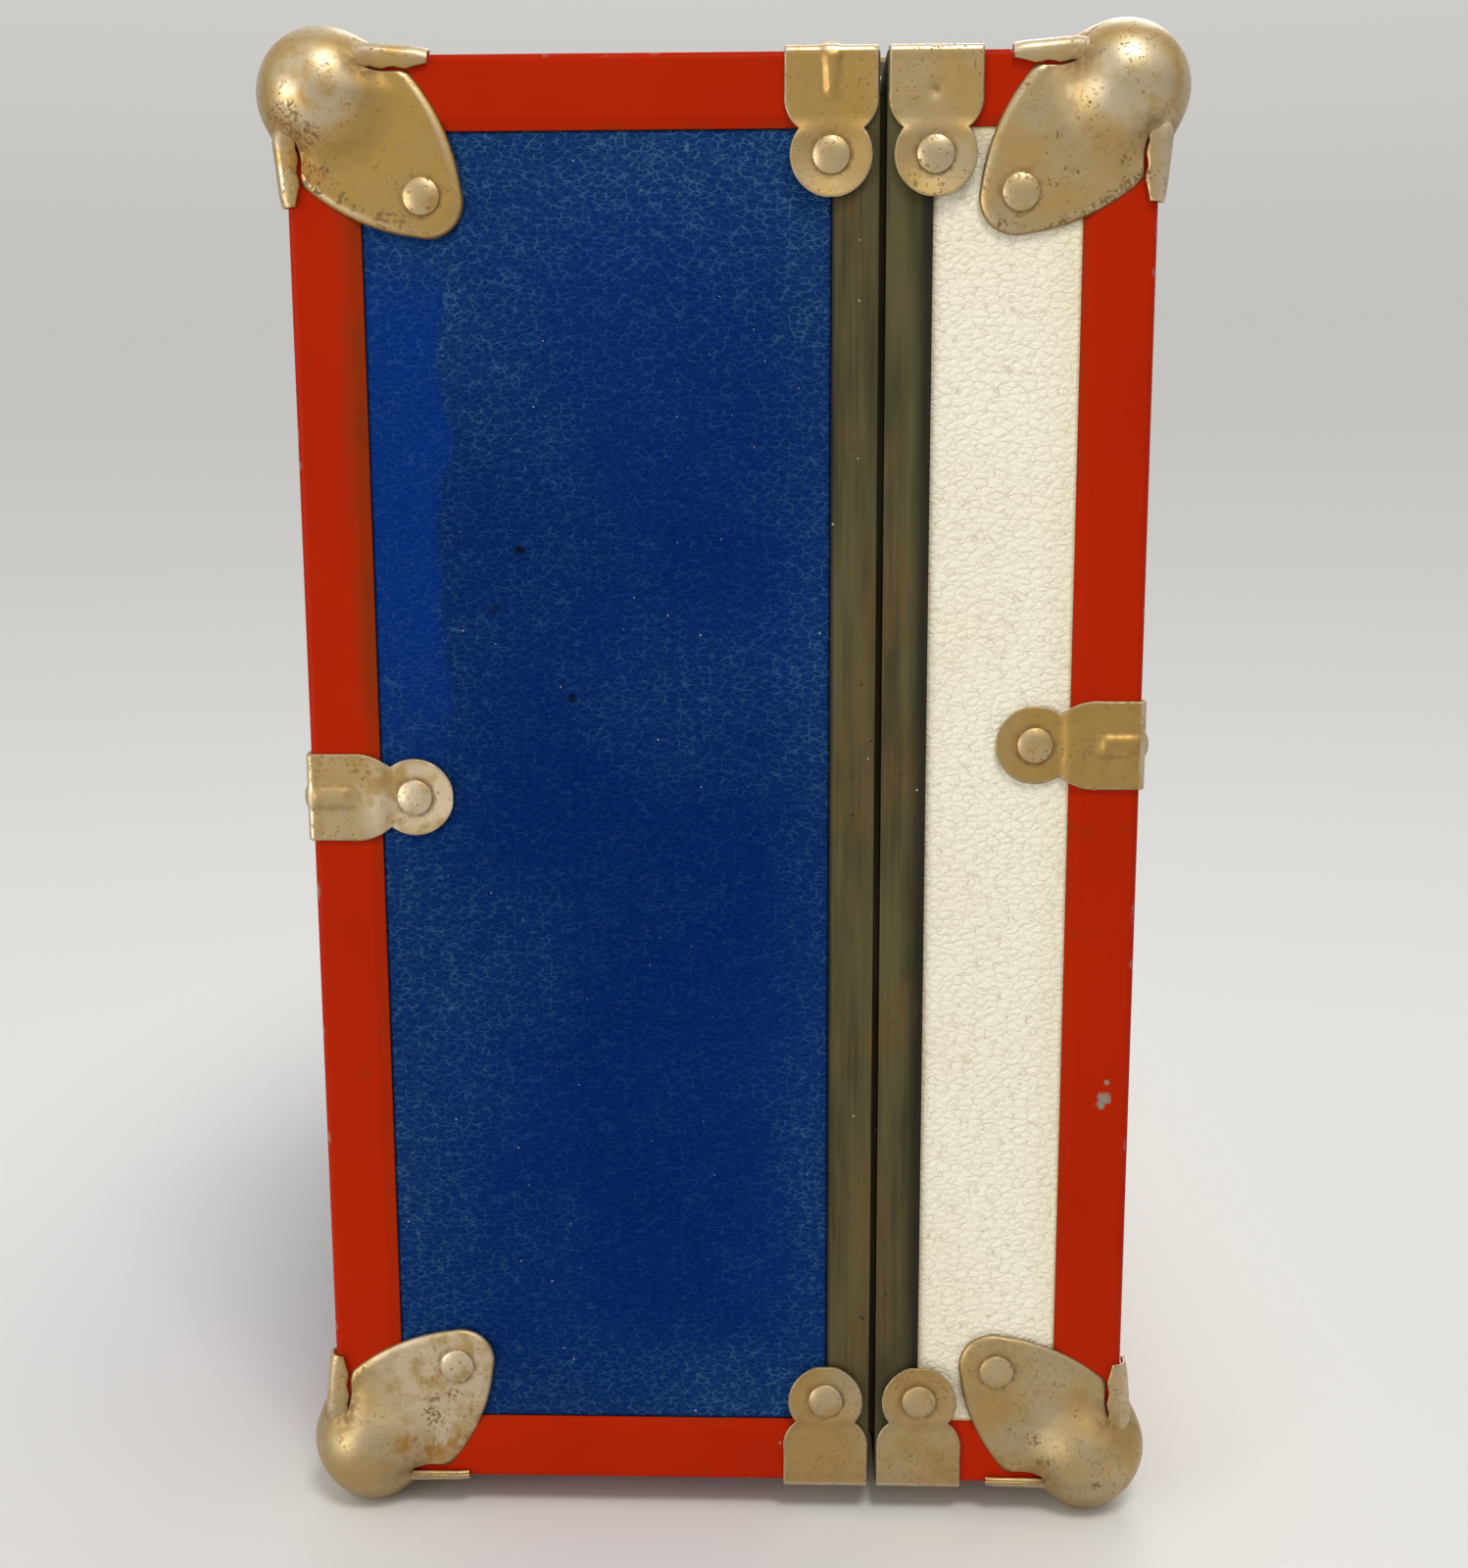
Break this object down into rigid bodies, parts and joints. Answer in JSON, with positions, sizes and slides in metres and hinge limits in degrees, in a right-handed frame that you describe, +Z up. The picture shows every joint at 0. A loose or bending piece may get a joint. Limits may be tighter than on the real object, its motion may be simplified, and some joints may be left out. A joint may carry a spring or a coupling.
{
  "type": "hard carry case",
  "caption": "Upright hard carry case with steel-bound edges, pressed ball corners, a hinged lid, snap latches and a swinging carry handle.",
  "frame": {"origin": "on the floor, under the middle of the case standing on its hinge side", "axes": "+Z up, +X from the deep body towards the lid, +Y from the near end to the far end"},
  "size_m": [0.1936, 0.3716, 0.3342],
  "materials": {
    "plywood": "raw plywood, hidden between vinyl and lining",
    "blue_vinyl": "grained vinyl leathercloth, navy blue, scuffed",
    "white_vinyl": "grained vinyl leathercloth, off-white, yellowed",
    "lining_paper": "plain lining paper",
    "red_paint": "red enamel on steel, chipped at the edges",
    "dark_steel": "darkened rolled steel",
    "nickel_plate": "tarnished nickel plate on pressed steel",
    "handle_plastic": "black moulded plastic",
    "spring_steel": "blued spring steel"
  },
  "bodies": {
    "case_body": {"body_back_bindings": "red_paint", "body_back_board": "plywood", "body_bottom_board": "plywood", "body_corner_far_bottom": "nickel_plate", "body_corner_far_top": "nickel_plate", "body_corner_near_bottom": "nickel_plate", "body_corner_near_top": "nickel_plate", "body_edge_clamps": "nickel_plate", "body_far_board": "plywood", "body_lining": "lining_paper", "body_near_board": "plywood", "body_rivets": "nickel_plate", "body_seam_clamps": "nickel_plate", "body_side_bindings": "red_paint", "body_small_rivets": "nickel_plate", "body_tongue": "dark_steel", "body_top_board": "plywood", "body_valance": "dark_steel", "body_vinyl": "blue_vinyl", "far_hinge_body_leaf": "nickel_plate", "far_hinge_pin": "nickel_plate", "far_lock_case": "nickel_plate", "far_lock_spring": "spring_steel", "handle_brackets": "nickel_plate", "handle_pins": "nickel_plate", "lock_plates": "nickel_plate", "near_hinge_body_leaf": "nickel_plate", "near_hinge_pin": "nickel_plate", "near_lock_case": "nickel_plate", "near_lock_spring": "spring_steel"},
    "lid": {"far_hasp_plate": "nickel_plate", "far_hinge_lid_leaf": "nickel_plate", "hasp_pins": "nickel_plate", "lid_bottom_board": "plywood", "lid_corner_far_bottom": "nickel_plate", "lid_corner_far_top": "nickel_plate", "lid_corner_near_bottom": "nickel_plate", "lid_corner_near_top": "nickel_plate", "lid_edge_clamps": "nickel_plate", "lid_far_board": "plywood", "lid_front_bindings": "red_paint", "lid_front_board": "plywood", "lid_lining": "lining_paper", "lid_near_board": "plywood", "lid_rivets": "nickel_plate", "lid_seam_clamps": "nickel_plate", "lid_side_bindings": "red_paint", "lid_small_rivets": "nickel_plate", "lid_top_board": "plywood", "lid_valance": "dark_steel", "lid_vinyl": "white_vinyl", "near_hasp_plate": "nickel_plate", "near_hinge_lid_leaf": "nickel_plate"},
    "handle": {"handle_ends": "nickel_plate", "handle_grip": "handle_plastic"},
    "near_hasp": {"near_hasp": "nickel_plate"},
    "far_hasp": {"far_hasp": "nickel_plate"},
    "near_slide": {"near_thumb_slide": "nickel_plate"},
    "far_slide": {"far_thumb_slide": "nickel_plate"}
  },
  "joints": [
    {"name": "lid_hinge", "type": "hinge", "parent": "case_body", "child": "lid", "pos_m": [0.03315, 0, 0.0056], "axis": [0, 1, 0], "range_deg": [0, 105]},
    {"name": "handle_swing", "type": "hinge", "parent": "case_body", "child": "handle", "pos_m": [-0.0283, 0, 0.3282], "axis": [0, -1, 0], "range_deg": [0, 180]},
    {"name": "near_hasp_swing", "type": "hinge", "parent": "lid", "child": "near_hasp", "pos_m": [0.047, -0.112, 0.3219], "axis": [0, 1, 0], "range_deg": [0, 110]},
    {"name": "far_hasp_swing", "type": "hinge", "parent": "lid", "child": "far_hasp", "pos_m": [0.047, 0.112, 0.3219], "axis": [0, 1, 0], "range_deg": [0, 110]},
    {"name": "near_slide_travel", "type": "slide", "parent": "case_body", "child": "near_slide", "axis": [0, -1, 0], "range_m": [0, 0.004], "stiffness_N_per_m": 250, "springref_m": -0.002, "deforming": ["near_lock_spring"]},
    {"name": "far_slide_travel", "type": "slide", "parent": "case_body", "child": "far_slide", "axis": [0, -1, 0], "range_m": [0, 0.004], "stiffness_N_per_m": 250, "springref_m": -0.002, "deforming": ["far_lock_spring"]}
  ]
}
